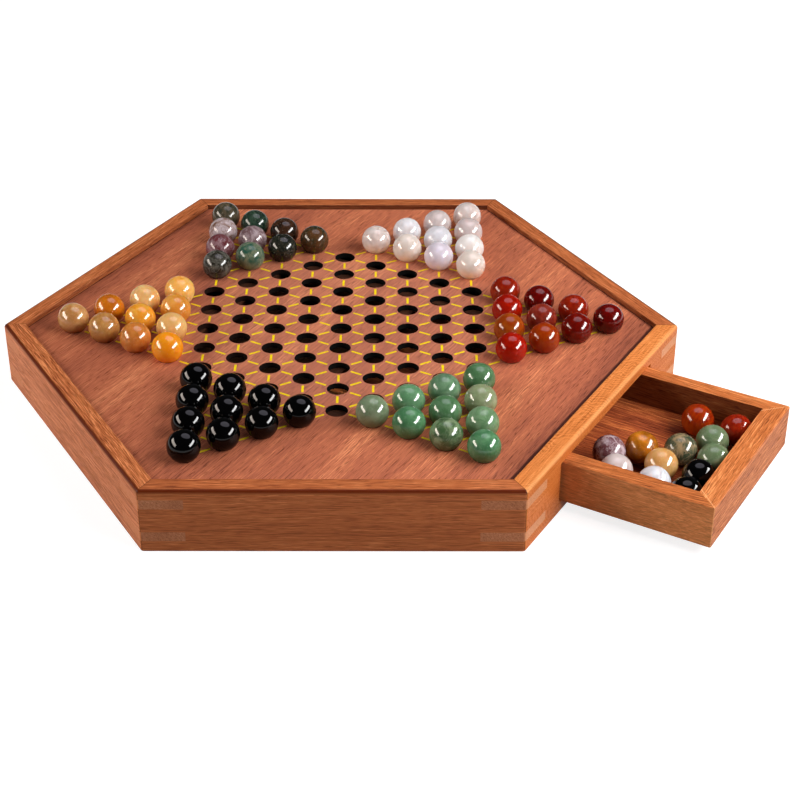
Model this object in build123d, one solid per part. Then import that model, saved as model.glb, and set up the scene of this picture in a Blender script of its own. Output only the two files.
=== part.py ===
from build123d import *
import os
from math import cos, radians, sin, sqrt

# A Chinese checkers set: a hexagonal hardwood box whose lid is a board drilled with the
# star of holes, sixty stone marbles in the six points of the star, and a drawer below
# that slides out of one side with the spare marbles in it.
# Millimetres, Z up. The origin is the centre of the underside, and the drawer opens to -Y.

# Marbles and the star of holes
marble_diameter = 16.0
marble_gap = 4.0  # clear space between neighbouring marbles on the board
hole_diameter = 11.0
point_rows = 4  # rows of holes in each point of the star
tip_margin = 24.9  # from the centre of a tip hole to the inside corner of the frame
seat_gap = 0.1  # a seated marble's height above its rim

# Frame of six rails
rail_thickness = 10.0
frame_lip = 2.5  # height of the rails above the board
edge_round = 1.8  # rounded outer edges
foot_round = 0.5  # eased outer edge of the underside
lip_round = 0.4  # eased inner edge of the rail tops
groove_depth = 3.0  # groove that holds the edge of the board
groove_play = 0.5  # room for the board to swell in its groove
rabbet_depth = 4.0  # rabbet that holds the bottom panel
rabbet_play = 0.3
board_thickness = 3.0
bottom_thickness = 5.5

# Keys let into the mitred corners, two at each
key_thickness = 5.0
key_cover = 1.3  # wood left between a key and the inside corner of the frame
upper_key_drop = 5.0  # from the top of the frame down to the upper key
lower_key_rise = 5.8  # from the underside up to the lower key
key_gap = 0.3  # between a key and the clipped corner of the board

# Drawer, sized to take all the marbles in rows
marbles_across = 5
marbles_along = 12
slack_across = 1.7
slack_along = 3.0
drawer_wall = 9.0
drawer_front_thickness = 10.9
drawer_floor_thickness = 5.0
drawer_rabbet = 4.0  # rabbet in the walls that holds the floor
drawer_headroom = 0.9  # from the top of a marble to the top of the drawer
drawer_round = 0.8
drawer_open = 74.7  # how far the drawer stands out as modelled

# What the drawer runs in
drawer_under_gap = 0.3
drawer_top_gap = 0.3
drawer_side_gap = 2.5
guide_width = 19.0
stop_width = 12.0
stop_gap = 0.8  # between the closed drawer and the stop
spare_gap = 0.05  # a spare marble's height above the drawer floor

# Where the spare marbles lie: across and along the drawer from the middle of its front,
# in marble diameters
spare_places = {
    "yellow": [(-0.49, 2.62), (-1.04, 1.76)],
    "white": [(-1.99, 2.79), (-2.03, 1.57)],
    "moss": [(-1.17, 3.38), (-0.01, 1.57)],
    "green": [(0.90, 0.92), (-0.02, 0.51)],
    "black": [(-1.03, 0.58), (-2.05, 0.55)],
    "red": [(1.79, 1.75), (1.83, 0.51)],
}

# Plan of the star and the frame
hole_pitch = marble_diameter + marble_gap
column_step = hole_pitch * cos(radians(30))
tip_reach = 2 * point_rows * column_step
inner_corner = tip_reach + tip_margin
inner_apothem = inner_corner * cos(radians(30))
outer_apothem = inner_apothem + rail_thickness
outer_corner = outer_apothem / cos(radians(30))
key_chord = inner_corner + key_cover

# Heights
drawer_low = bottom_thickness + drawer_under_gap
drawer_floor = drawer_low + drawer_floor_thickness
drawer_high = drawer_floor + marble_diameter + drawer_headroom
board_low = drawer_high + drawer_top_gap
board_high = board_low + board_thickness
frame_high = board_high + frame_lip

# Plan of the drawer
inside_width = marbles_across * marble_diameter + slack_across
inside_length = marbles_along * marble_diameter + slack_along
drawer_width = inside_width + 2 * drawer_wall
drawer_length = drawer_front_thickness + inside_length + drawer_wall
drawer_front = -outer_apothem - drawer_open
bay_half_width = drawer_width / 2 + drawer_side_gap
stop_front = -outer_apothem + drawer_length + stop_gap

# What lies round the hexagon, each a sixth of a turn after the last: the corners and the
# points of the star from +X, the rails from half a step further
corner_names = ["right", "back_right", "back_left", "left", "front_left", "front_right"]
rail_names = ["back_right", "back", "back_left", "front_left", "front", "front_right"]
star_colours = ["white", "moss", "yellow", "black", "green", "red"]
corner_angles = range(0, 360, 60)
rail_angles = range(30, 390, 60)

closeness = 0.01  # two heights or lengths nearer than this are the same


def prism(points, low, high):
    """A straight-sided block on the outline through the points."""
    return Pos(0, 0, low) * extrude(make_face(Polyline(*points, close=True)), high - low)


def hexagon(apothem, low, high):
    """A hexagonal block with its corners at 0, 60, 120 degrees and so on."""
    corner = apothem / cos(radians(30))
    points = [(corner * cos(radians(a)), corner * sin(radians(a))) for a in corner_angles]
    return prism(points, low, high)


def slab(left, right, front, back, low, high):
    """A rectangular block between six planes."""
    return prism([(left, front), (right, front), (right, back), (left, back)], low, high)


def edges_at_height(shape, height):
    """The edges that lie flat at one height."""
    flat = shape.edges().filter_by(Plane.XY)
    return flat.filter_by_position(Axis.Z, height - closeness, height + closeness)


def key_slot(angle, low):
    """The space that one key fills, sawn across a corner of the frame."""
    reach = 2 * (outer_corner - key_chord)
    half_length = 2 * reach
    slot = slab(key_chord, key_chord + reach, -half_length, half_length, low, low + key_thickness)
    return Rot(0, 0, angle) * slot


def key_slots(angle):
    """The upper and the lower slot of one corner."""
    lows = [frame_high - upper_key_drop - key_thickness, lower_key_rise]
    return [key_slot(angle, low) for low in lows]


def frame_block():
    """The outside of the frame, solid, with its rounded edges."""
    block = hexagon(outer_apothem, 0, frame_high)
    uprights = block.edges().filter_by(Axis.Z)
    block = fillet(uprights + edges_at_height(block, frame_high), edge_round)
    return fillet(edges_at_height(block, 0), foot_round)


def frame_ring(block):
    """The whole frame before it is divided at its mitres."""
    opening = hexagon(inner_apothem, 0, frame_high)
    ring = block - opening
    inner_edges = edges_at_height(ring, frame_high).filter_by(GeomType.LINE)
    rim = [e for e in inner_edges if abs(e.length - inner_corner) < closeness]
    ring = fillet(rim, lip_round)
    ring -= hexagon(inner_apothem + groove_depth, board_low, board_high)
    ring -= hexagon(inner_apothem + rabbet_depth, 0, bottom_thickness)
    ring -= slab(-bay_half_width, bay_half_width, -2 * outer_apothem, 0, bottom_thickness, board_low)
    for angle in corner_angles:
        for slot in key_slots(angle):
            ring -= slot
    return ring


def rail(ring, angle):
    """One side of the frame, cut out at the mitres on either side of it."""
    far = 2 * outer_corner
    points = [(0, 0)]
    for side in (angle - 30, angle + 30):
        points.append((far * cos(radians(side)), far * sin(radians(side))))
    return ring & prism(points, 0, frame_high)


def star_holes():
    """Every hole of the star as (x, y), counted in steps along three directions."""
    holes = []
    far = 2 * point_rows
    for first in range(-far, far + 1):
        for second in range(-far, far + 1):
            steps = (first, second, -first - second)
            if min(steps) >= -point_rows or max(steps) <= point_rows:
                x = first * column_step
                y = (second + first / 2) * hole_pitch
                holes.append((x, y))
    return holes


def playing_board(holes):
    """The drilled panel, with its corners clipped short of the upper keys."""
    play = groove_depth - groove_play
    panel = hexagon(inner_apothem + play, board_low, board_high)
    for angle in corner_angles:
        limit = key_chord - key_gap
        beyond = slab(limit, limit + rail_thickness, -rail_thickness, rail_thickness, 0, frame_high)
        panel -= Rot(0, 0, angle) * beyond
    drills = Sketch() + [Pos(x, y) * Circle(hole_diameter / 2) for x, y in holes]
    return panel - Pos(0, 0, board_low) * extrude(drills, board_thickness)


def star_point(holes, angle):
    """The holes of one point of the star, which are those beyond its base row."""
    base_row = point_rows * column_step
    along = (cos(radians(angle)), sin(radians(angle)))
    return [(x, y) for x, y in holes if x * along[0] + y * along[1] > base_row + column_step / 2]


def marbles(places, height):
    """A marble at each place, with its centre at one height."""
    ball = Sphere(marble_diameter / 2)
    return [Pos(x, y, height) * ball for x, y in places]


def drawer_walls():
    """The four walls of the drawer, mitred at its corners."""
    left, right = -drawer_width / 2, drawer_width / 2
    front, back = drawer_front, drawer_front + drawer_length
    inner_front, inner_back = front + drawer_front_thickness, back - drawer_wall
    inner_left, inner_right = left + drawer_wall, right - drawer_wall
    box = slab(left, right, front, back, drawer_low, drawer_high)
    uprights = box.edges().filter_by(Axis.Z)
    box = fillet(uprights + edges_at_height(box, drawer_high), drawer_round)
    box -= slab(inner_left, inner_right, inner_front, inner_back, drawer_low, drawer_high)
    box -= drawer_floor_space()
    outer = [(left, front), (right, front), (right, back), (left, back)]
    inner = [
        (inner_left, inner_front),
        (inner_right, inner_front),
        (inner_right, inner_back),
        (inner_left, inner_back),
    ]
    walls = {}
    for index, name in enumerate(["front", "right_side", "back", "left_side"]):
        after = (index + 1) % 4
        points = [outer[index], outer[after], inner[after], inner[index]]
        walls["drawer_" + name] = box & prism(points, drawer_low, drawer_high)
    return walls


def drawer_floor_space():
    """The floor of the drawer and the rabbet that it sits in."""
    half_width = inside_width / 2 + drawer_rabbet
    front = drawer_front + drawer_front_thickness - drawer_rabbet
    back = drawer_front + drawer_length - drawer_wall + drawer_rabbet
    return slab(-half_width, half_width, front, back, drawer_low, drawer_floor)


def drawer_guide(side):
    """One strip beside the drawer, from the front rail to the back of the stop."""
    near, far = side * bay_half_width, side * (bay_half_width + guide_width)
    back = stop_front + stop_width
    return slab(min(near, far), max(near, far), -inner_apothem, back, bottom_thickness, board_low)


def spare_marbles(places):
    """Two spare marbles of one colour on the drawer floor."""
    inner_front = drawer_front + drawer_front_thickness
    spots = [(x * marble_diameter, inner_front + y * marble_diameter) for x, y in places]
    return marbles(spots, drawer_floor + spare_gap + marble_diameter / 2)


def build():
    """Every sub-part by name, as a list of solids."""
    parts = {}
    block = frame_block()
    ring = frame_ring(block)
    for name, angle in zip(rail_names, rail_angles):
        parts[name + "_rail"] = [rail(ring, angle)]
    for name, angle in zip(corner_names, corner_angles):
        parts[name + "_corner_keys"] = [block & slot for slot in key_slots(angle)]

    holes = star_holes()
    parts["playing_board"] = [playing_board(holes)]
    panel_apothem = inner_apothem + rabbet_depth - rabbet_play
    parts["bottom_panel"] = [hexagon(panel_apothem, 0, bottom_thickness)]

    parts["left_drawer_guide"] = [drawer_guide(-1)]
    parts["right_drawer_guide"] = [drawer_guide(1)]
    stop_back = stop_front + stop_width
    stop = slab(-bay_half_width, bay_half_width, stop_front, stop_back, bottom_thickness, board_low)
    parts["drawer_stop"] = [stop]

    for name, wall in drawer_walls().items():
        parts[name] = [wall]
    parts["drawer_floor"] = [drawer_floor_space()]

    drop = sqrt((marble_diameter / 2) ** 2 - (hole_diameter / 2) ** 2)
    seated = board_high + drop + seat_gap
    for colour, angle in zip(star_colours, corner_angles):
        parts[colour + "_marbles"] = marbles(star_point(holes, angle), seated)
        parts["spare_" + colour + "_marbles"] = spare_marbles(spare_places[colour])
    return parts


os.makedirs("parts", exist_ok=True)
for part_name, pieces in build().items():
    solids = [solid for piece in pieces for solid in piece.solids()]
    shape = solids[0] if len(solids) == 1 else Compound(children=solids)
    export_step(shape, "parts/" + part_name + ".step")
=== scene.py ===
import math
import random

import bmesh
import bpy
from mathutils import Matrix, Vector


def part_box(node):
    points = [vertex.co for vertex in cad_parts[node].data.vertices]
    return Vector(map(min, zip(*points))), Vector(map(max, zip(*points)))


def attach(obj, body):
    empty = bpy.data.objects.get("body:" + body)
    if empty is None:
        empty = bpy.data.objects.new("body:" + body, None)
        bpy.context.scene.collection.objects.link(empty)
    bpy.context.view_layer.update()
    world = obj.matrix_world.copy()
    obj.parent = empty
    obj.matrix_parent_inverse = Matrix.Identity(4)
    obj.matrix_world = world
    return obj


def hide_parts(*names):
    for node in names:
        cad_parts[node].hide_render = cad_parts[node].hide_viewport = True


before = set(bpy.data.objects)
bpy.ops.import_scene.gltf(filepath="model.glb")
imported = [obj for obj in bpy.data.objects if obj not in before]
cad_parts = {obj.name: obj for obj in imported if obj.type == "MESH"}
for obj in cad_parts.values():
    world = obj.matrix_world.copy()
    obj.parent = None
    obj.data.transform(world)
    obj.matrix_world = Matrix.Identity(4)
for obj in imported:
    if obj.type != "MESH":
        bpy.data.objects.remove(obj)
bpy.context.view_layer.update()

# The looks of a wooden Chinese checkers set: oiled hardwood with open pores, yellow paint
# between the holes, and polished stone marbles. Metres, Z up, the drawer slides towards -Y.

# Sizes of the marbles and the star of holes, as in the solids
MARBLE = 0.016
PITCH = 0.020
HOLE = 0.011
POINT_ROWS = 4
SEAT_GAP = 0.0001  # a seated marble's height above its rim
SPARE_GAP = 0.00005  # a spare marble's height above the drawer's floor
COLUMN_STEP = PITCH * math.cos(math.radians(30))
SEAT_HEIGHT = math.sqrt((MARBLE / 2) ** 2 - (HOLE / 2) ** 2) + SEAT_GAP

# Places read from the solids
BOARD_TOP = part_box("playing_board")[1].z
DRAWER_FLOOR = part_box("drawer_floor")[1].z
DRAWER_FRONT_LOW, DRAWER_FRONT_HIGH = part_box("drawer_front")
RAIL_OUTSIDE = -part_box("front_rail")[0].y  # from the middle of the box out to a rail's outer face
RAIL_INSIDE = -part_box("front_rail")[1].y
FRAME_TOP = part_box("front_rail")[1].z

# The rails and the corners, anticlockwise, and the way each rail faces, in degrees round from +X
RAIL_NAMES = ["back_right", "back", "back_left", "front_left", "front", "front_right"]
RAIL_ANGLES = range(30, 390, 60)
CORNER_NAMES = ["right", "back_right", "back_left", "left", "front_left", "front_right"]

# Meshes and seeds
MARBLE_SEGMENTS = 96
GRAIN_SEED = 7
BOARD_MARBLES_SEED = 3
SPARE_MARBLES_SEED = 40

# Paint between the holes
DASH_LENGTH = 0.0062
DASH_WIDTH = 0.0012
DASH_THICKNESS = 0.00005

# Widths of lines and edges in the finish of the wood, and of painted shade and shadow
SEAM_SHADE = 0.0007  # the painted shade in the seam between the board and the rails
MITRE_LINE = 0.0003
GLUE_LINE = 0.0004
EDGE_WIDTH = 0.0022  # the rounded outer edge of a rail, on each of its two faces
EDGE_FADE = 0.0010
INNER_LIP_SHADE = 0.0006  # the painted shade on a rail's inner face and lip
RAIL_SHADE = (0.014, 0.002)  # painted shade on the board along the drawer's rail, measured from that rail
LIP_SHADOW_LINE = (0.0034, 0.0026)  # the painted shadow line of that rail's lip on the board

# Where the tone of the wood changes, and where painted shade falls: its start and its end
BOARD_MIDDLE = (0.06, 0.10)  # from the middle of the board outwards
BOARD_END = (0.0, 0.15)  # towards the back left corner
DRAWER_FLOOR_SHADE = (-0.11, -0.06)  # painted shade along Y, with the drawer as in the photograph

# Grain of the wood: its waves in a metre, along the grain and across it
WANDER = (7, 25)
WANDER_REACH = 0.008  # how far the grain wanders, in metres
BROAD_BANDS = (3, 50)
BROAD_SHARE = 0.4
STREAKS = (((9, 360), 0.16), ((30, 1300), 0.5), ((110, 2600), 0.8))  # each with its share
PORES = (140, 2100)
RINGS = (420.0, 300.0, 300.0)
RING_SWAY = 9.0  # how many rings they sway
RING_SWAY_WAVES = (50, 120)
RING_PATCHES = (22, 60)

# Gloss of the wood and the paint
WOOD_ROUGHNESS = 0.58  # less where the wood is paler
PORE_ROUGHNESS = 0.25
WOOD_BUMP = 0.35
PORE_DEPTH = 0.0001
WOOD_SHINE = 0.07
PAINT_SHINE = 0.2

# Waves of the paint in a metre, along the grain of the board and across it
PAINT_WAVES = (300, 1800)

# Polished stone: how much it bends light, and the waves of its flecks and layers in a metre
STONE_IOR = 1.54
FLECKS = 900
LAYERS = 420.0
LAYER_WAY = (0.6, 0.3, 0.74)
LAYER_SWAY = 2.5  # how many layers they sway
LAYER_SWAY_WAVES = 110

# Camera of the photograph: its place, its turn in degrees, and its lens and sensor in millimetres
CAMERA_PLACE = Vector((-0.6859, -0.4292, 0.4909))
CAMERA_HEADING = 29.864
CAMERA_PITCH = 31.916
CAMERA_ROLL = 0.141
CAMERA_LENS = 80.49
CAMERA_SENSOR = 36.0

# Floor and room
FLOOR_RADIUS = 25
FLOOR_GREY = 0.4
FLOOR_GLOW = 0.82  # the floor's own light, which only shows when it is seen
ROOM_LIGHT = 0.03

# Where each colour's point of the star lies, in degrees round from +X, and the shade of each
# of its marbles: the tip first, then each row from one side to the other
STAR_POINTS = {
    "white": (0, ["cream", "ash", "ash", "milk", "pearl", "snow", "blush", "lilac", "blush", "cream"]),
    "moss": (60, ["olive", "fir", "haze", "peat", "heather", "plum", "bark", "pine", "fern", "slate"]),
    "yellow": (120, ["sand", "amber", "clay", "straw", "honey", "rust", "butter", "ochre", "straw",
                     "marigold"]),
    "black": (180, ["onyx"] * 10),
    "green": (240, ["jade", "veined", "mint", "jade", "deep", "sage", "dusk", "leaf", "sea", "deep"]),
    "red": (300, ["garnet", "wine", "brick", "copper", "mauve", "garnet", "scarlet", "fox", "scarlet",
                  "brick"]),
}

# Where the spare marbles lie in the drawer, in marble diameters to the right of its middle and
# behind the inside of its front, and the shade of each
SPARES = {
    "yellow": [(-0.49, 2.62, "tiger"), (-1.04, 1.76, "oat")],
    "white": [(-1.99, 2.79, "ash"), (-2.03, 1.57, "pearl")],
    "moss": [(-1.17, 3.38, "mulberry"), (-0.01, 1.57, "lichen")],
    "green": [(0.90, 0.92, "moor"), (-0.02, 0.51, "moor")],
    "black": [(-1.03, 0.58, "onyx"), (-2.05, 0.55, "onyx")],
    "red": [(1.79, 1.75, "flame"), (1.83, 0.51, "brick")],
}

# Where a marble's point keeps its three shades
SHADE_ATTRIBUTES = ("stone_body", "stone_cloud", "stone_low_light")

# Each shade's body colour, the colour of its clouds or veins, and the colour painted on its underside
# as the light and shade it takes there, as seen on screen
SHADES = {
    "snow": ((0.85, 0.82, 0.83), (0.90, 0.88, 0.89), (0.95, 0.88, 0.84)),
    "milk": ((0.90, 0.86, 0.84), (0.95, 0.92, 0.91), (1.00, 0.93, 0.87)),
    "cream": ((0.80, 0.74, 0.72), (0.86, 0.80, 0.78), (0.98, 0.88, 0.80)),
    "ash": ((0.76, 0.70, 0.69), (0.82, 0.76, 0.75), (0.97, 0.88, 0.83)),
    "blush": ((0.86, 0.80, 0.76), (0.91, 0.85, 0.82), (1.00, 0.86, 0.76)),
    "pearl": ((0.80, 0.79, 0.81), (0.87, 0.86, 0.88), (0.90, 0.85, 0.84)),
    "lilac": ((0.82, 0.78, 0.82), (0.88, 0.84, 0.88), (0.94, 0.86, 0.85)),
    "onyx": ((0.010, 0.010, 0.012), (0.016, 0.016, 0.02), (0.01, 0.005, 0.005)),
    "olive": ((0.36, 0.31, 0.24), (0.16, 0.19, 0.15), (0.22, 0.20, 0.15)),
    "fir": ((0.20, 0.28, 0.22), (0.07, 0.15, 0.12), (0.10, 0.15, 0.12)),
    "peat": ((0.26, 0.16, 0.10), (0.10, 0.07, 0.05), (0.14, 0.08, 0.05)),
    "haze": ((0.76, 0.69, 0.70), (0.48, 0.34, 0.26), (0.54, 0.46, 0.44)),
    "heather": ((0.43, 0.32, 0.33), (0.68, 0.60, 0.61), (0.42, 0.31, 0.32)),
    "plum": ((0.40, 0.18, 0.20), (0.62, 0.50, 0.52), (0.48, 0.30, 0.31)),
    "bark": ((0.34, 0.22, 0.12), (0.14, 0.18, 0.13), (0.22, 0.15, 0.08)),
    "pine": ((0.07, 0.09, 0.08), (0.18, 0.18, 0.14), (0.05, 0.05, 0.04)),
    "fern": ((0.46, 0.49, 0.39), (0.16, 0.33, 0.27), (0.50, 0.50, 0.38)),
    "slate": ((0.15, 0.14, 0.11), (0.40, 0.39, 0.36), (0.12, 0.09, 0.06)),
    "lichen": ((0.25, 0.29, 0.22), (0.62, 0.52, 0.38), (0.38, 0.25, 0.12)),
    "mulberry": ((0.44, 0.27, 0.29), (0.76, 0.68, 0.70), (0.34, 0.19, 0.20)),
    "sand": ((0.86, 0.66, 0.43), (0.70, 0.46, 0.23), (0.50, 0.26, 0.08)),
    "amber": ((0.84, 0.48, 0.07), (0.72, 0.38, 0.05), (0.50, 0.22, 0.02)),
    "clay": ((0.79, 0.57, 0.32), (0.66, 0.43, 0.20), (0.54, 0.30, 0.10)),
    "straw": ((0.90, 0.68, 0.40), (0.95, 0.77, 0.51), (0.74, 0.44, 0.14)),
    "oat": ((0.84, 0.64, 0.40), (0.76, 0.53, 0.28), (0.66, 0.42, 0.18)),
    "honey": ((0.93, 0.60, 0.14), (0.95, 0.69, 0.28), (0.80, 0.41, 0.03)),
    "rust": ((0.83, 0.52, 0.23), (0.74, 0.42, 0.15), (0.84, 0.54, 0.27)),
    "butter": ((0.98, 0.76, 0.42), (0.98, 0.64, 0.18), (0.96, 0.80, 0.58)),
    "ochre": ((0.86, 0.55, 0.18), (0.92, 0.66, 0.32), (0.84, 0.50, 0.16)),
    "marigold": ((0.97, 0.58, 0.06), (0.98, 0.65, 0.15), (0.98, 0.55, 0.02)),
    "tiger": ((0.58, 0.33, 0.05), (0.88, 0.54, 0.12), (0.42, 0.18, 0.02)),
    "jade": ((0.29, 0.49, 0.33), (0.38, 0.57, 0.40), (0.18, 0.35, 0.18)),
    "mint": ((0.40, 0.54, 0.38), (0.50, 0.63, 0.47), (0.30, 0.46, 0.30)),
    "veined": ((0.28, 0.39, 0.25), (0.51, 0.59, 0.44), (0.23, 0.32, 0.17)),
    "deep": ((0.30, 0.46, 0.30), (0.37, 0.52, 0.37), (0.24, 0.39, 0.22)),
    "sage": ((0.54, 0.58, 0.43), (0.60, 0.64, 0.50), (0.46, 0.50, 0.34)),
    "dusk": ((0.50, 0.56, 0.44), (0.43, 0.50, 0.38), (0.42, 0.46, 0.32)),
    "leaf": ((0.38, 0.56, 0.40), (0.46, 0.62, 0.47), (0.30, 0.48, 0.31)),
    "moor": ((0.40, 0.47, 0.34), (0.48, 0.54, 0.41), (0.28, 0.34, 0.20)),
    "sea": ((0.44, 0.58, 0.44), (0.36, 0.49, 0.37), (0.34, 0.48, 0.34)),
    "garnet": ((0.42, 0.02, 0.01), (0.32, 0.03, 0.01), (0.32, 0.01, 0.00)),
    "wine": ((0.48, 0.06, 0.01), (0.36, 0.03, 0.01), (0.44, 0.04, 0.00)),
    "brick": ((0.60, 0.14, 0.04), (0.46, 0.08, 0.02), (0.50, 0.07, 0.01)),
    "copper": ((0.62, 0.23, 0.02), (0.56, 0.15, 0.01), (0.60, 0.17, 0.00)),
    "mauve": ((0.56, 0.20, 0.14), (0.44, 0.10, 0.07), (0.46, 0.10, 0.06)),
    "scarlet": ((0.66, 0.09, 0.01), (0.56, 0.05, 0.00), (0.64, 0.06, 0.00)),
    "fox": ((0.64, 0.30, 0.05), (0.54, 0.18, 0.02), (0.62, 0.24, 0.02)),
    "flame": ((0.64, 0.21, 0.02), (0.48, 0.09, 0.01), (0.93, 0.40, 0.04)),
}

# Each wood's tones from its dark streaks to its pale ones, as seen on screen
WOODS = {
    "brown": [(0.44, 0.20, 0.11), (0.67, 0.36, 0.20), (0.76, 0.43, 0.25), (0.90, 0.57, 0.36)],
    # gold: paler than brown, partly by its figure and partly as a painted sheen of its grain in the light
    "gold": [(0.64, 0.32, 0.12), (0.83, 0.48, 0.24), (0.89, 0.54, 0.28), (0.98, 0.68, 0.42)],
    "tan": [(0.56, 0.32, 0.22), (0.72, 0.45, 0.31), (0.78, 0.50, 0.35), (0.86, 0.60, 0.44)],
    "red": [(0.46, 0.25, 0.20), (0.68, 0.38, 0.28), (0.77, 0.44, 0.31), (0.93, 0.60, 0.42)],
    # dark: near black, a painted shade for the parts seen down the holes
    "dark": [(0.16, 0.10, 0.07), (0.22, 0.13, 0.09), (0.27, 0.16, 0.11), (0.33, 0.20, 0.14)],
    "plain": [(0.44, 0.27, 0.17), (0.58, 0.38, 0.25), (0.66, 0.45, 0.31), (0.72, 0.51, 0.36)],
    "amber": [(0.42, 0.20, 0.09), (0.70, 0.38, 0.19), (0.79, 0.45, 0.24), (0.93, 0.61, 0.37)],
    "russet": [(0.30, 0.11, 0.06), (0.54, 0.25, 0.14), (0.68, 0.33, 0.18), (0.93, 0.55, 0.30)],
}

# Tones that the finish takes only in some places, and painted light and shade, as seen on screen
TONES = {
    "pore": (0.26, 0.11, 0.06),
    "board_middle": (0.71, 0.51, 0.46),
    "board_end": (0.38, 0.17, 0.07),
    "board_underside": (0.08, 0.05, 0.04),
    # painted shade on the board's hole walls
    "hole_wall_shade": (0.02, 0.012, 0.01),
    # painted shade and shadow on the board along the rails
    "seam_shade": (0.10, 0.06, 0.05),
    "rail_shade": (0.30, 0.15, 0.14),
    "lip_shadow_line": (0.16, 0.08, 0.09),
    # painted sheen of the keys towards the drawer
    "key_sheen": (0.97, 0.70, 0.48),
    "brown_key": (0.86, 0.50, 0.28),
    # painted shade on a rail's inner lip
    "inner_lip_shade": (0.24, 0.10, 0.06),
    "mitre": (0.24, 0.10, 0.05),
    # painted shade and painted highlight of a rail's rounded edge
    "edge_shade": (0.36, 0.11, 0.01),
    "edge_highlight": (0.99, 0.74, 0.48),
    # the drawer's rail's outer face, painted darker than its sheened top
    "gold_face": (0.74, 0.36, 0.12),
    # painted light on the back left rail's outer face
    "left_face_lit": (0.92, 0.52, 0.28),
    "front_left_face": (0.88, 0.52, 0.32),
    # painted shade inside the drawer and painted light on its outer left side
    "drawer_shade": (0.26, 0.10, 0.04),
    "drawer_side_light": (0.98, 0.66, 0.42),
    "glue": (0.97, 0.72, 0.50),
    # painted shade of the drawer's floor and of the panel seen down the holes
    "floor_back_shade": (0.18, 0.08, 0.05),
    "shade_under_holes": (0.07, 0.04, 0.03),
    "paint": (0.92, 0.78, 0.0),
    "thin_paint": (0.99, 0.87, 0.01),
}

# How the rails look: their wood, the tone and share of the painted shade on the rounded edge (a painted
# highlight on the drawer's rail) and of the outer face, the share of the painted shade on the inner lip,
# and the strength of their grain
# most rails: painted shade on the rounded edge
PLAIN_RAIL = {"wood": "brown", "edge": ("edge_shade", 0.95), "face": None, "lip": 0.35, "grain": {}}
RAIL_LOOKS = {
    # the drawer's rail: a painted highlight on its edge, its outer face darker than its sheened top
    "front": {"wood": "gold", "edge": ("edge_highlight", 0.3), "face": ("gold_face", 0.5),
              "grain": {"streaks": 0.7, "curl": 0.09, "pore_depth": 0.15}},
    # the back left rail's outer face painted lighter and warmer, as lit from the left
    "back_left": {"face": ("left_face_lit", 0.4), "grain": {"streaks": 1.6, "broad": 1.6}},
    "front_left": {"face": ("front_left_face", 0.25)},
    "back_right": {"lip": 0.75},
}


def linear(colour):
    """The light value of a colour as seen on screen."""
    return tuple(c / 12.92 if c <= 0.04045 else ((c + 0.055) / 1.055) ** 2.4 for c in colour) + (1.0,)


def add(tree, kind, settings=None, **inputs):
    """A node with its settings and its inputs, each of them a value or another node's socket."""
    made = tree.nodes.new(kind)
    for name, value in (settings or {}).items():
        setattr(made, name, value)
    for name, value in inputs.items():
        feed(tree, made.inputs[name.replace("_", " ")], value)
    return made


def feed(tree, socket, value):
    """Gives a socket its value or its link."""
    if isinstance(value, bpy.types.NodeSocket):
        tree.links.new(value, socket)
    else:
        socket.default_value = value


def maths(tree, operation, first, second=0.0, third=0.0):
    """The result of a Math node."""
    made = tree.nodes.new("ShaderNodeMath")
    made.operation = operation
    for socket, value in zip(made.inputs, (first, second, third)):
        feed(tree, socket, value)
    return made.outputs[0]


def vector_maths(tree, operation, first, second):
    """The result of a Vector Math node."""
    made = tree.nodes.new("ShaderNodeVectorMath")
    made.operation = operation
    feed(tree, made.inputs[0], first)
    feed(tree, made.inputs[1], second)
    return made.outputs["Value" if operation == "DOT_PRODUCT" else "Vector"]


def product(tree, first, second):
    """Two values multiplied."""
    return maths(tree, "MULTIPLY", first, second)


def along(tree, vector, way):
    """How far a vector reaches along a direction."""
    return vector_maths(tree, "DOT_PRODUCT", vector, way)


def facing(tree, way):
    """How far a surface looks one way, from -1 to 1."""
    return along(tree, add(tree, "ShaderNodeTexCoord").outputs["Normal"], way)


def bearing(angle):
    """The level direction at an angle in degrees round from +X."""
    turn = math.radians(angle)
    return Vector((math.cos(turn), math.sin(turn), 0))


def mixed(tree, factor, first, second):
    """Two colours mixed by a factor."""
    made = tree.nodes.new("ShaderNodeMix")
    made.data_type = "RGBA"
    feed(tree, made.inputs[0], factor)
    feed(tree, made.inputs[6], first)
    feed(tree, made.inputs[7], second)
    return made.outputs[2]


def tinted(tree, share, colour, tone):
    """A colour drawn by a share towards one of the tones in TONES."""
    return mixed(tree, share, colour, linear(TONES[tone]))


def noise(tree, vector, scale, detail=3.0, roughness=0.55, distortion=0.0):
    """The value of a noise texture."""
    made = add(tree, "ShaderNodeTexNoise", Vector=vector, Scale=scale, Detail=detail,
               Roughness=roughness, Distortion=distortion)
    return made.outputs["Fac"]


def stretch(tree, vector, lengthwise, crosswise):
    """A place in the wood with the grain, along X, drawn out."""
    made = add(tree, "ShaderNodeMapping", Vector=vector, Scale=(lengthwise, crosswise, crosswise))
    return made.outputs["Vector"]


def step(tree, value, low, high, to_low=0.0, to_high=1.0):
    """A smooth step from one value to another."""
    made = add(tree, "ShaderNodeMapRange", {"interpolation_type": "SMOOTHSTEP"}, Value=value,
               From_Min=low, From_Max=high, To_Min=to_low, To_Max=to_high)
    return made.outputs["Result"]


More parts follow.
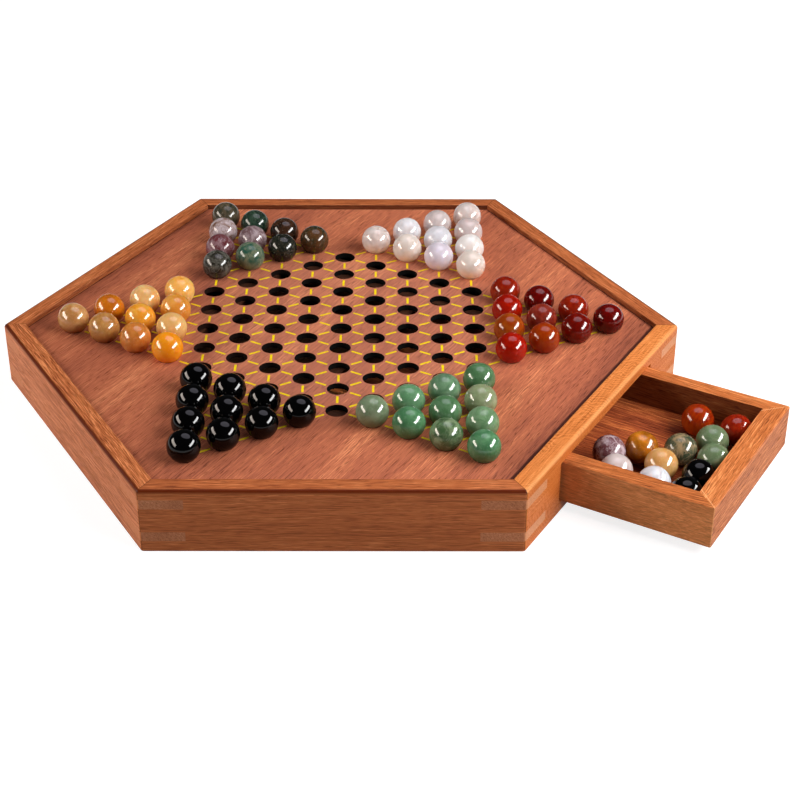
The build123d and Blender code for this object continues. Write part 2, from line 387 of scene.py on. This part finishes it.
def new_material(name):
    """An empty material with its shader, and the node tree to fill."""
    material = bpy.data.materials.new(name)
    material.use_nodes = True
    tree = material.node_tree
    tree.nodes.clear()
    shader = tree.nodes.new("ShaderNodeBsdfPrincipled")
    output = tree.nodes.new("ShaderNodeOutputMaterial")
    tree.links.new(shader.outputs["BSDF"], output.inputs["Surface"])
    return material, tree, shader


def ramp(tree, value, colours, low=0.28, high=0.72):
    """A run through several colours between two values."""
    made = tree.nodes.new("ShaderNodeValToRGB")
    band = made.color_ramp
    for index, colour in enumerate(colours):
        place = low + (high - low) * index / (len(colours) - 1)
        point = band.elements[index] if index < 2 else band.elements.new(place)
        point.position = place
        point.color = linear(colour)
    feed(tree, made.inputs["Fac"], value)
    return made.outputs["Color"]


def growth_rings(tree, place, curl):
    """Short curling strokes of growth rings, stronger in some patches than in others."""
    sway = noise(tree, stretch(tree, place, *RING_SWAY_WAVES), 1.0, 2.0, 0.5)
    phase = maths(tree, "MULTIPLY_ADD", sway, RING_SWAY, along(tree, place, RINGS))
    stroke = step(tree, maths(tree, "PINGPONG", phase, 0.5), 0.0, 0.45, -1.0, 0.6)
    patches = noise(tree, stretch(tree, place, *RING_PATCHES), 1.0, 1.0)
    return product(tree, stroke, step(tree, patches, 0.40, 0.60, 0.25 * curl, curl))


def wood(name, grain, tones, shift=(0, 0, 0), tilt=0.0, curl=0.0, streaks=1.0, broad=1.0, pore_depth=0.5,
         extra=None):
    """Oiled hardwood: broad bands, streaks of three finenesses, short pores and, on some cuts, curl.

    The grain runs at an angle in degrees round from +X, and dips by the tilt."""
    material, tree, shader = new_material(name)
    place = add(tree, "ShaderNodeTexCoord").outputs["Object"]
    turned = add(tree, "ShaderNodeMapping", {"vector_type": "TEXTURE"}, Vector=place,
                 Rotation=(0, math.radians(tilt), math.radians(grain))).outputs["Vector"]
    moved = vector_maths(tree, "ADD", turned, shift)
    wander = add(tree, "ShaderNodeTexNoise", Vector=stretch(tree, moved, *WANDER), Scale=1.0, Detail=2.0)
    offset = vector_maths(tree, "SUBTRACT", wander.outputs["Color"], (0.5, 0.5, 0.5))
    offset = vector_maths(tree, "MULTIPLY", offset, (0.0, WANDER_REACH, WANDER_REACH))
    bent = vector_maths(tree, "ADD", moved, offset)

    tone = 0.5
    layers = [(BROAD_BANDS, BROAD_SHARE * broad)]
    layers += [(waves, share * streaks) for waves, share in STREAKS]
    for waves, share in layers:
        streak = noise(tree, stretch(tree, bent, *waves), 1.0, 2.0, 0.6)
        tone = maths(tree, "ADD", tone, maths(tree, "MULTIPLY_ADD", streak, share, -share / 2))
    if curl:
        tone = maths(tree, "ADD", tone, growth_rings(tree, bent, curl))
    pores = step(tree, noise(tree, stretch(tree, bent, *PORES), 1.0, 1.0, 0.5), 0.60, 0.68)
    colour = tinted(tree, product(tree, pores, pore_depth), ramp(tree, tone, WOODS[tones]), "pore")
    rough = maths(tree, "MULTIPLY_ADD", tone, -0.25, WOOD_ROUGHNESS)
    rough = maths(tree, "MULTIPLY_ADD", pores, PORE_ROUGHNESS, rough)
    if extra:
        colour, rough = extra(tree, place, colour, rough)
    tree.links.new(colour, shader.inputs["Base Color"])
    tree.links.new(rough, shader.inputs["Roughness"])
    height = maths(tree, "MULTIPLY_ADD", pores, -1.0, tone)
    bump = add(tree, "ShaderNodeBump", Height=height, Strength=WOOD_BUMP, Distance=PORE_DEPTH)
    tree.links.new(bump.outputs["Normal"], shader.inputs["Normal"])
    shader.inputs["Specular IOR Level"].default_value = WOOD_SHINE
    return material


def board_extra(tree, place, colour, rough):
    """The board's pinker middle, dark underside, darker end, and painted shade in its holes and by its
    rails.
    """
    reach = 0.0
    for angle in (30, 90, 150):
        distance = maths(tree, "ABSOLUTE", along(tree, place, bearing(angle)))
        reach = maths(tree, "MAXIMUM", distance, reach)
    colour = tinted(tree, step(tree, reach, *BOARD_MIDDLE, 0.2, 0.0), colour, "board_middle")
    # the hole walls painted near black, a painted shade deep in the holes
    wall = step(tree, maths(tree, "ABSOLUTE", facing(tree, (0, 0, 1))), 0.3, 0.7, 1.0, 0.0)
    colour = tinted(tree, wall, colour, "hole_wall_shade")
    colour = tinted(tree, step(tree, facing(tree, (0, 0, -1)), 0.4, 0.7), colour, "board_underside")
    end = step(tree, along(tree, place, bearing(120)), *BOARD_END, 0.0, 0.24)
    colour = tinted(tree, end, colour, "board_end")
    # painted shade along the seam between the board and the rails
    seam_shade = step(tree, reach, RAIL_INSIDE - SEAM_SHADE, RAIL_INSIDE - SEAM_SHADE / 3, 0.0, 0.85)
    colour = tinted(tree, seam_shade, colour, "seam_shade")
    # painted shade that the drawer's rail throws on the board
    from_rail = maths(tree, "SUBTRACT", RAIL_INSIDE, along(tree, place, (0, -1, 0)))
    shade = step(tree, from_rail, *RAIL_SHADE, 0.0, 0.35)
    colour = tinted(tree, shade, colour, "rail_shade")
    # painted shadow of the lip of the drawer's rail, a thin dark line on the board
    line = step(tree, from_rail, *LIP_SHADOW_LINE, 0.0, 0.8)
    colour = tinted(tree, line, colour, "lip_shadow_line")
    return colour, maths(tree, "MAXIMUM", rough, product(tree, wall, 0.95))


def key_extra(tree, place, colour, rough):
    """The keys get a painted sheen on the side of the drawer and match the rail on the back left side."""
    # painted sheen on the key faces towards the drawer
    sheen_share = step(tree, facing(tree, (0, -1, 0)), 0.7, 0.9, 0.0, 0.3)
    colour = tinted(tree, sheen_share, colour, "key_sheen")
    like_rail = step(tree, facing(tree, bearing(150)), 0.7, 0.9, 0.0, 0.7)
    return tinted(tree, like_rail, colour, "brown_key"), rough


def floor_shade(tree, place, colour, rough):
    """The drawer's floor is darker towards its back, a painted shade of the part under the board."""
    # painted shade towards the back of the drawer's floor
    back = step(tree, along(tree, place, (0, 1, 0)), *DRAWER_FLOOR_SHADE, 0.0, 0.6)
    return tinted(tree, back, colour, "floor_back_shade"), rough


def panel_shade(tree, place, colour, rough):
    """The upper side of the panel under the holes, painted near black as the shade seen down the holes."""
    # painted shade on the panel's upper side
    upper_shade = step(tree, facing(tree, (0, 0, 1)), 0.4, 0.7, 0.0, 0.85)
    return tinted(tree, upper_shade, colour, "shade_under_holes"), rough


def layers_of_stone(tree, place):
    """Swaying layers across the stone."""
    sway = noise(tree, place, LAYER_SWAY_WAVES, 3.0, 0.6)
    height = along(tree, place, LAYER_WAY)
    phase = maths(tree, "MULTIPLY_ADD", sway, LAYER_SWAY, product(tree, height, LAYERS))
    return step(tree, maths(tree, "PINGPONG", phase, 0.5), 0.1, 0.4)


def stone(name, cloud, veins, vein_share, flecks=0.0, fleck_colour=(1, 1, 1), glow=0.0, glow_reach=0.0,
          glow_tint=(1, 1, 1), soften=0.0, bands=0.0, shine=0.5, polish=0.12, low_light_share=0.6):
    """Polished stone: clouds of two shades, thin veins, flecks and layers, on each marble's own points.

    The shades come from the marble; its underside takes a share of its third shade, painted light and
    shade."""
    material, tree, shader = new_material(name)
    place = add(tree, "ShaderNodeAttribute", {"attribute_name": "stone_place"}).outputs["Vector"]
    body, second, underside = (add(tree, "ShaderNodeAttribute", {"attribute_name": kept}).outputs["Color"]
                               for kept in SHADE_ATTRIBUTES)
    clouds = step(tree, noise(tree, place, cloud, 5.0, 0.6, 0.8), 0.42 - soften, 0.66 + soften)
    if bands:
        clouds = product(tree, clouds, 1 - bands)
        clouds = maths(tree, "MULTIPLY_ADD", layers_of_stone(tree, place), bands, clouds)
    colour = mixed(tree, clouds, body, second)
    line = maths(tree, "ABSOLUTE", maths(tree, "SUBTRACT", noise(tree, place, veins, 3.0, 0.55, 1.2), 0.5))
    colour = mixed(tree, step(tree, line, 0.0, 0.03, vein_share, 0.0), colour, second)
    if flecks:
        spots = step(tree, noise(tree, place, FLECKS, 2.0, 0.7), 0.60, 0.68)
        colour = mixed(tree, product(tree, spots, flecks), colour, linear(fleck_colour))
    # painted light and shade on the underside, drawn towards the marble's third shade
    low = step(tree, facing(tree, (0, 0, -1)), -0.3, 0.8, 0.0, low_light_share)
    colour = mixed(tree, low, colour, underside)
    tree.links.new(colour, shader.inputs["Base Color"])
    shader.inputs["Roughness"].default_value = polish
    shader.inputs["IOR"].default_value = STONE_IOR
    shader.inputs["Specular IOR Level"].default_value = shine
    if glow:
        shader.inputs["Subsurface Weight"].default_value = glow
        shader.inputs["Subsurface Radius"].default_value = glow_tint
        shader.inputs["Subsurface Scale"].default_value = glow_reach
    return material


def yellow_paint():
    """Thin yellow enamel, a little uneven where the wood's grain takes it."""
    material, tree, shader = new_material("yellow_paint")
    place = add(tree, "ShaderNodeTexCoord").outputs["Object"]
    uneven = noise(tree, stretch(tree, place, *PAINT_WAVES), 1.0, 2.0)
    colour = tinted(tree, step(tree, uneven, 0.35, 0.65), linear(TONES["paint"]), "thin_paint")
    tree.links.new(colour, shader.inputs["Base Color"])
    tree.links.new(maths(tree, "MULTIPLY_ADD", uneven, 0.2, 0.35), shader.inputs["Roughness"])
    shader.inputs["Specular IOR Level"].default_value = PAINT_SHINE
    return material


def star_holes():
    """Every hole of the star as (x, y), keyed by its steps along two directions."""
    holes = {}
    far = 2 * POINT_ROWS
    for first in range(-far, far + 1):
        for second in range(-far, far + 1):
            steps = (first, second, -first - second)
            if min(steps) >= -POINT_ROWS or max(steps) <= POINT_ROWS:
                holes[first, second] = Vector((first * COLUMN_STEP, (second + first / 2) * PITCH))
    return holes


def seats(holes, angle):
    """The holes of one point of the star, the tip first, then row by row."""
    out = bearing(angle).to_2d()
    side = bearing(angle + 90).to_2d()
    inside = (POINT_ROWS + 0.5) * COLUMN_STEP
    found = [p for p in holes.values() if p.dot(out) > inside]
    return sorted(found, key=lambda p: (-round(p.dot(out) / COLUMN_STEP), p.dot(side)))


def new_tree(name, inputs):
    """An empty geometry node tree with named inputs, its group input and its group output."""
    tree = bpy.data.node_groups.new(name, "GeometryNodeTree")
    tree.interface.new_socket("Geometry", in_out="INPUT", socket_type="NodeSocketGeometry")
    for label, kind in inputs:
        tree.interface.new_socket(label, in_out="INPUT", socket_type=kind)
    tree.interface.new_socket("Geometry", in_out="OUTPUT", socket_type="NodeSocketGeometry")
    return tree, tree.nodes.new("NodeGroupInput"), tree.nodes.new("NodeGroupOutput")


def finish_tree(tree, geometry, start, end):
    """Realizes the copies and gives them the tree's material."""
    whole = add(tree, "GeometryNodeRealizeInstances", Geometry=geometry).outputs["Geometry"]
    dressed = add(tree, "GeometryNodeSetMaterial", Geometry=whole, Material=start.outputs["Material"])
    tree.links.new(dressed.outputs["Geometry"], end.inputs["Geometry"])


def store_place(tree, geometry, value):
    """Stores a place in the stone on every point of a geometry."""
    stored = add(tree, "GeometryNodeStoreNamedAttribute", {"data_type": "FLOAT_VECTOR", "domain": "POINT"},
                 Geometry=geometry, Name="stone_place", Value=value)
    return stored.outputs["Geometry"]


def read_attribute(tree, name):
    """A named vector attribute of the points."""
    made = add(tree, "GeometryNodeInputNamedAttribute", {"data_type": "FLOAT_VECTOR"}, Name=name)
    return made.outputs["Attribute"]


def marble_tree():
    """A ball on every point of a mesh, each turned its own way, with its own places in the stone."""
    inputs = [("Diameter", "NodeSocketFloat"), ("Segments", "NodeSocketInt"), ("Seed", "NodeSocketInt"),
              ("Material", "NodeSocketMaterial")]
    tree, start, end = new_tree("marbles_on_points", inputs)
    radius = product(tree, start.outputs["Diameter"], 0.5)
    rings = product(tree, start.outputs["Segments"], 0.5)
    ball = add(tree, "GeometryNodeMeshUVSphere", Radius=radius, Rings=rings,
               Segments=start.outputs["Segments"])
    smooth = add(tree, "GeometryNodeSetShadeSmooth", Geometry=ball.outputs["Mesh"])
    position = tree.nodes.new("GeometryNodeInputPosition").outputs["Position"]
    marked = store_place(tree, smooth.outputs["Geometry"], position)
    turn = add(tree, "FunctionNodeRandomValue", {"data_type": "FLOAT_VECTOR"}, Seed=start.outputs["Seed"])
    turn.inputs[0].default_value = (0, 0, 0)
    turn.inputs[1].default_value = (math.tau, math.tau, math.tau)
    copies = add(tree, "GeometryNodeInstanceOnPoints", Points=start.outputs["Geometry"], Instance=marked,
                 Rotation=turn.outputs[0])
    whole = add(tree, "GeometryNodeRealizeInstances", Geometry=copies.outputs["Instances"])
    own_place = read_attribute(tree, "stone_place")
    moved = vector_maths(tree, "ADD", own_place, read_attribute(tree, "stone_shift"))
    finish_tree(tree, store_place(tree, whole.outputs["Geometry"], moved), start, end)
    return tree


def dash_tree():
    """A thin painted dash in the middle of every edge of a net, along the edge."""
    inputs = [("Length", "NodeSocketFloat"), ("Width", "NodeSocketFloat"), ("Thickness", "NodeSocketFloat"),
              ("Material", "NodeSocketMaterial")]
    tree, start, end = new_tree("dashes_on_edges", inputs)
    ends = tree.nodes.new("GeometryNodeInputMeshEdgeVertices")
    way = vector_maths(tree, "SUBTRACT", ends.outputs["Position 2"], ends.outputs["Position 1"])
    kept = add(tree, "GeometryNodeCaptureAttribute", {"domain": "EDGE"}, Geometry=start.outputs["Geometry"])
    kept.capture_items.new("VECTOR", "Way")
    tree.links.new(way, kept.inputs["Way"])
    middles = add(tree, "GeometryNodeMeshToPoints", {"mode": "EDGES"}, Mesh=kept.outputs["Geometry"])
    turned = add(tree, "FunctionNodeAlignRotationToVector", {"axis": "X"}, Vector=kept.outputs["Way"])
    size = add(tree, "ShaderNodeCombineXYZ", X=start.outputs["Length"], Y=start.outputs["Width"],
               Z=start.outputs["Thickness"])
    bar = add(tree, "GeometryNodeMeshCube", Size=size.outputs["Vector"])
    copies = add(tree, "GeometryNodeInstanceOnPoints", Points=middles.outputs["Points"],
                 Instance=bar.outputs["Mesh"], Rotation=turned.outputs["Rotation"])
    finish_tree(tree, copies.outputs["Instances"], start, end)
    return tree


def grown(name, source, tree, values):
    """The plain mesh that a geometry node tree makes of a source mesh, as a new object."""
    holder = bpy.data.objects.new(name + "_source", source)
    bpy.context.scene.collection.objects.link(holder)
    modifier = holder.modifiers.new("nodes", "NODES")
    modifier.node_group = tree
    for item in tree.interface.items_tree:
        if item.in_out == "INPUT" and item.name in values:
            modifier[item.identifier] = values[item.name]
    bpy.context.view_layer.update()
    evaluated = holder.evaluated_get(bpy.context.evaluated_depsgraph_get())
    mesh = bpy.data.meshes.new_from_object(evaluated)
    holder.modifiers.remove(modifier)
    bpy.data.objects.remove(holder)
    mesh.name = name
    piece = bpy.data.objects.new(name, mesh)
    bpy.context.scene.collection.objects.link(piece)
    return piece


def own_shift(draw):
    """A place of its own in the grain or the stone."""
    return [draw.uniform(-1, 1) for axis in range(3)]


def stone_points(name, places, shades, seed):
    """A mesh of loose points, each with its marble's shades and its own place in the stone."""
    mesh = bpy.data.meshes.new(name)
    mesh.from_pydata(places, [], [])
    draw = random.Random(seed)
    for attribute in SHADE_ATTRIBUTES:
        mesh.attributes.new(attribute, "FLOAT_COLOR", "POINT")
    mesh.attributes.new("stone_shift", "FLOAT_VECTOR", "POINT")
    for index, shade in enumerate(shades):
        for attribute, colour in zip(SHADE_ATTRIBUTES, SHADES[shade]):
            mesh.attributes[attribute].data[index].color = linear(colour)
        mesh.attributes["stone_shift"].data[index].vector = own_shift(draw)
    return mesh


def marbles(name, places, shades, material, tree, seed):
    """The marbles of one colour as one piece."""
    points = stone_points(name + "_points", places, shades, seed)
    values = {"Diameter": MARBLE, "Segments": MARBLE_SEGMENTS, "Seed": seed, "Material": material}
    return grown(name, points, tree, values)


def lay_marbles(holes, stones):
    """All the marbles, on the board and in the drawer, in place of the plain ones."""
    tree = marble_tree()
    height = DRAWER_FLOOR + SPARE_GAP + MARBLE / 2
    for index, (colour, (angle, shades)) in enumerate(STAR_POINTS.items()):
        places = [(p.x, p.y, BOARD_TOP + SEAT_HEIGHT) for p in seats(holes, angle)]
        piece = marbles(colour + "_set_stones", places, shades, stones[colour], tree,
                        BOARD_MARBLES_SEED + index)
        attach(piece, colour + "_set")
        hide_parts(colour + "_marbles")
        spots = [(x * MARBLE, DRAWER_FRONT_HIGH.y + y * MARBLE, height) for x, y, shade in SPARES[colour]]
        spare_shades = [shade for x, y, shade in SPARES[colour]]
        spare = marbles(colour + "_spare_stones", spots, spare_shades, stones[colour], tree,
                        SPARE_MARBLES_SEED + index)
        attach(spare, "drawer")
        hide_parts("spare_" + colour + "_marbles")


def paint_dashes(holes):
    """The yellow dashes between neighbouring holes."""
    keys = list(holes)
    edges = []
    for first, second in keys:
        for near in ((first + 1, second), (first, second + 1), (first + 1, second - 1)):
            if near in holes:
                edges.append((keys.index((first, second)), keys.index(near)))
    net = bpy.data.meshes.new("star_net")
    height = BOARD_TOP + DASH_THICKNESS / 2
    net.from_pydata([(holes[k].x, holes[k].y, height) for k in keys], edges, [])
    values = {"Length": DASH_LENGTH, "Width": DASH_WIDTH, "Thickness": DASH_THICKNESS,
              "Material": yellow_paint()}
    piece = grown("painted_dashes", net, dash_tree(), values)
    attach(piece, "box")


def dress(node, material):
    """Gives a solid its material."""
    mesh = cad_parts[node].data
    mesh.materials.clear()
    mesh.materials.append(material)


def rail_extra(angle, edge, face, lip):
    """A rail's edge in painted shade or highlight, its outer face, its inner lip in painted shade, its
    mitres.

    The edge and the face are each given as a tone and its share."""
    def apply(tree, place, colour, rough):
        out = along(tree, place, bearing(angle))
        high = along(tree, place, (0, 0, 1))
        near_side = step(tree, out, RAIL_OUTSIDE - EDGE_WIDTH, RAIL_OUTSIDE - EDGE_WIDTH + EDGE_FADE)
        near_top = step(tree, high, FRAME_TOP - EDGE_WIDTH, FRAME_TOP - EDGE_WIDTH + EDGE_FADE)
        # the rounded edge takes its painted tone: shade on most rails, a highlight on the drawer's rail
        on_edge = product(tree, near_side, near_top)
        colour = tinted(tree, product(tree, on_edge, edge[1]), colour, edge[0])
        if face:
            upright = step(tree, facing(tree, bearing(angle)), 0.8, 0.95, 0.0, face[1])
            colour = tinted(tree, upright, colour, face[0])
        # painted shade on the rail's inner face and lip
        inner_lip_shade = step(tree, out, RAIL_INSIDE + 0.0001, RAIL_INSIDE + INNER_LIP_SHADE, lip, 0.0)
        colour = tinted(tree, inner_lip_shade, colour, "inner_lip_shade")
        for corner in (angle - 30, angle + 30):
            off = maths(tree, "ABSOLUTE", along(tree, place, bearing(corner + 90)))
            line = step(tree, off, MITRE_LINE / 3, MITRE_LINE, 0.6, 0.0)
            colour = tinted(tree, line, colour, "mitre")
        return colour, maths(tree, "MULTIPLY_ADD", on_edge, -0.15, rough)
    return apply


def drawer_extra(tree, place, colour, rough):
    """Painted shade on the drawer's inner side and light on its outer left side; its front's glue lines."""
    to_left = step(tree, facing(tree, (-1, 0, 0)), 0.7, 0.9)
    right_half = step(tree, along(tree, place, (1, 0, 0)), -0.001, 0.001)
    left_half = maths(tree, "SUBTRACT", 1.0, right_half)
    # painted shade on the inner face of the right side
    inner = product(tree, product(tree, to_left, right_half), 0.7)
    colour = tinted(tree, inner, colour, "drawer_shade")
    # painted light on the outer face of the left side
    outer = product(tree, product(tree, to_left, left_half), 0.3)
    colour = tinted(tree, outer, colour, "drawer_side_light")
    low, high = DRAWER_FRONT_LOW, DRAWER_FRONT_HIGH
    in_front = step(tree, along(tree, place, (0, 1, 0)), high.y + 0.0005, high.y + 0.001, 0.55, 0.0)
    for corner, angle in ((low.x, -45), (high.x, -135)):
        off = vector_maths(tree, "SUBTRACT", place, (corner, low.y, 0))
        across = maths(tree, "ABSOLUTE", along(tree, off, bearing(angle)))
        line = step(tree, across, 0.0001, GLUE_LINE, 1.0, 0.0)
        colour = tinted(tree, product(tree, line, in_front), colour, "glue")
    return colour, rough


def dress_wood():
    """The wooden parts, each with its own stretch of grain."""
    draw = random.Random(GRAIN_SEED)
    for name, angle in zip(RAIL_NAMES, RAIL_ANGLES):
        look = {**PLAIN_RAIL, **RAIL_LOOKS.get(name, {})}
        extra = rail_extra(angle, look["edge"], look["face"], look["lip"])
        dress(name + "_rail", wood(name + "_rail_wood", angle + 90, look["wood"], shift=own_shift(draw),
                                   extra=extra, **look["grain"]))
    for index, name in enumerate(CORNER_NAMES):
        dress(name + "_corner_keys", wood(name + "_key_wood", index * 60 + 90, "tan", shift=own_shift(draw),
                                          tilt=35, streaks=0.7, pore_depth=0.3, extra=key_extra))
    dress("playing_board", wood("board_wood_finish", 0, "red", shift=(0.3, 0.2, 0.1), streaks=0.72,
                                broad=1.4, extra=board_extra))
    # the guides, the stop and the drawer's back in the dark wood, a painted shade seen down the holes
    for name, grain in (("left_drawer_guide", 90), ("right_drawer_guide", 90), ("drawer_stop", 0),
                        ("drawer_back", 0)):
        dress(name, wood(name + "_wood", grain, "dark", shift=own_shift(draw)))
    dress("bottom_panel", wood("bottom_panel_wood", 0, "plain", shift=(0.2, 0.6, 0.9), extra=panel_shade))
    for name, grain in (("drawer_front", 0), ("drawer_left_side", 96), ("drawer_right_side", 87)):
        dress(name, wood(name + "_wood", grain, "amber", shift=own_shift(draw), extra=drawer_extra))
    dress("drawer_floor", wood("drawer_floor_wood", 90, "russet", shift=(0.7, 0.1, 0.4), broad=2.0,
                               extra=floor_shade))


def make_stones():
    """One polished stone for each colour."""
    return {
        "white": stone("white_quartz", cloud=120, veins=60, vein_share=0.1, soften=0.1, shine=0.7,
                       polish=0.14, low_light_share=0.8, glow=0.9, glow_reach=0.014,
                       glow_tint=(1.0, 0.85, 0.78)),
        "moss": stone("moss_agate", cloud=180, veins=150, vein_share=0.7, flecks=0.25,
                      fleck_colour=(0.66, 0.60, 0.54), shine=0.32),
        "yellow": stone("yellow_jasper", cloud=100, veins=110, vein_share=0.2, soften=0.06, bands=0.08,
                        flecks=0.12, fleck_colour=(0.96, 0.86, 0.66), shine=0.55, polish=0.14,
                        low_light_share=0.75, glow=0.4, glow_reach=0.003, glow_tint=(1.0, 0.5, 0.2)),
        "black": stone("black_onyx", cloud=120, veins=80, vein_share=0.2, shine=0.21, polish=0.06),
        "green": stone("green_aventurine", cloud=170, veins=90, vein_share=0.3, flecks=0.12,
                       fleck_colour=(0.66, 0.78, 0.66), shine=0.5, glow=0.4, glow_reach=0.003,
                       glow_tint=(0.5, 1.0, 0.6)),
        "red": stone("red_carnelian", cloud=140, veins=120, vein_share=0.3, soften=0.05, bands=0.25,
                     shine=0.36, glow=0.5, glow_reach=0.006, glow_tint=(1.0, 0.25, 0.08)),
    }


def place_camera():
    """The camera of the photograph."""
    pitch, roll = math.radians(CAMERA_PITCH), math.radians(CAMERA_ROLL)
    ahead = math.cos(pitch) * bearing(CAMERA_HEADING) - math.sin(pitch) * Vector((0, 0, 1))
    level = bearing(CAMERA_HEADING - 90)
    upward = level.cross(ahead)
    right = math.cos(roll) * level + math.sin(roll) * upward
    up = math.cos(roll) * upward - math.sin(roll) * level
    lens = bpy.data.cameras.new("camera")
    lens.lens = CAMERA_LENS
    lens.sensor_width = CAMERA_SENSOR
    lens.clip_start = 0.01
    lens.clip_end = 100
    camera = bpy.data.objects.new("camera", lens)
    turn = Matrix((right, up, -ahead)).transposed().to_4x4()
    camera.matrix_world = Matrix.Translation(CAMERA_PLACE) @ turn
    bpy.context.scene.collection.objects.link(camera)
    bpy.context.scene.camera = camera


def from_view(across, away, height):
    """A place given across the camera's view and away from the camera, from the middle of the box."""
    return (across * bearing(CAMERA_HEADING - 90) + away * bearing(CAMERA_HEADING)
            + height * Vector((0, 0, 1)))


def soft_box(name, ends, breadth, radiance, shine=False, round_shape=False, tint=(1, 1, 1)):
    """A lamp with a flat face of even brightness between two ends, turned to the middle of the board.

    It either lights the set or, as a shine, only shows in its polish."""
    first, last = (from_view(*end) for end in ends)
    middle = (first + last) / 2
    side = (last - first).normalized()
    back = middle - Vector((0, 0, BOARD_TOP))
    back = (back - back.dot(side) * side).normalized()
    light = bpy.data.lights.new(name, "AREA")
    light.shape = "ELLIPSE" if round_shape else "RECTANGLE"
    light.size = (last - first).length
    light.size_y = breadth
    light.energy = radiance * math.pi * light.size * breadth * (math.pi / 4 if round_shape else 1)
    light.color = tint
    lamp = bpy.data.objects.new(name, light)
    turn = Matrix((side, back.cross(side), back)).transposed().to_4x4()
    lamp.matrix_world = Matrix.Translation(middle) @ turn
    lamp.visible_camera = False
    lamp.visible_diffuse = not shine
    lamp.visible_glossy = shine
    bpy.context.scene.collection.objects.link(lamp)


def light_studio():
    """Long soft boxes beside the set, round ones overhead, and a dim room."""
    soft_box("left_light", ((-1.0, 0.5, 0.55), (-0.9, -0.6, 0.45)), breadth=0.42, radiance=5.5)
    soft_box("right_light", ((0.70, 0.27, 0.60), (0.55, -0.62, 0.52)), breadth=0.34, radiance=8.9)
    soft_box("left_shine", ((-0.85, 0.20, 0.44), (-0.68, -0.60, 0.33)), breadth=0.22, radiance=16.0,
             shine=True, tint=(1.0, 0.88, 0.78))
    soft_box("right_shine", ((0.86, 0.16, 0.50), (0.60, -0.68, 0.36)), breadth=0.2, radiance=36.0,
             shine=True)
    soft_box("overhead", ((0.10, 0.25, 1.10), (0.90, 0.25, 1.10)), breadth=0.8, radiance=1.2,
             round_shape=True)
    soft_box("overhead_shine", ((-0.30, 0.24, 1.13), (0.78, 0.24, 1.13)), breadth=0.9, radiance=2.6,
             shine=True, round_shape=True, tint=(0.9, 0.86, 1.0))
    world = bpy.data.worlds.new("room")
    world.use_nodes = True
    background = world.node_tree.nodes["Background"]
    background.inputs["Color"].default_value = (1, 1, 1, 1)
    background.inputs["Strength"].default_value = ROOM_LIGHT
    bpy.context.scene.world = world


def lay_floor():
    """A plain pale floor, lit up to white where it is seen straight or mirrored."""
    mesh = bpy.data.meshes.new("floor")
    shape = bmesh.new()
    bmesh.ops.create_circle(shape, cap_ends=True, segments=64, radius=FLOOR_RADIUS)
    shape.to_mesh(mesh)
    shape.free()
    floor = bpy.data.objects.new("floor", mesh)
    bpy.context.scene.collection.objects.link(floor)
    material, tree, shader = new_material("pale_floor")
    shader.inputs["Base Color"].default_value = (FLOOR_GREY, FLOOR_GREY, FLOOR_GREY, 1)
    shader.inputs["Roughness"].default_value = 0.9
    shader.inputs["Specular IOR Level"].default_value = 0.0
    path = tree.nodes.new("ShaderNodeLightPath")
    seen = maths(tree, "MAXIMUM", path.outputs["Is Camera Ray"], path.outputs["Is Glossy Ray"])
    seen = maths(tree, "MAXIMUM", seen, path.outputs["Is Transmission Ray"])
    tree.links.new(product(tree, seen, FLOOR_GLOW), shader.inputs["Emission Strength"])
    shader.inputs["Emission Color"].default_value = (1, 1, 1, 1)
    mesh.materials.append(material)


all_holes = star_holes()
dress_wood()
lay_marbles(all_holes, make_stones())
paint_dashes(all_holes)
place_camera()
light_studio()
lay_floor()
bpy.context.scene.view_settings.view_transform = "Standard"
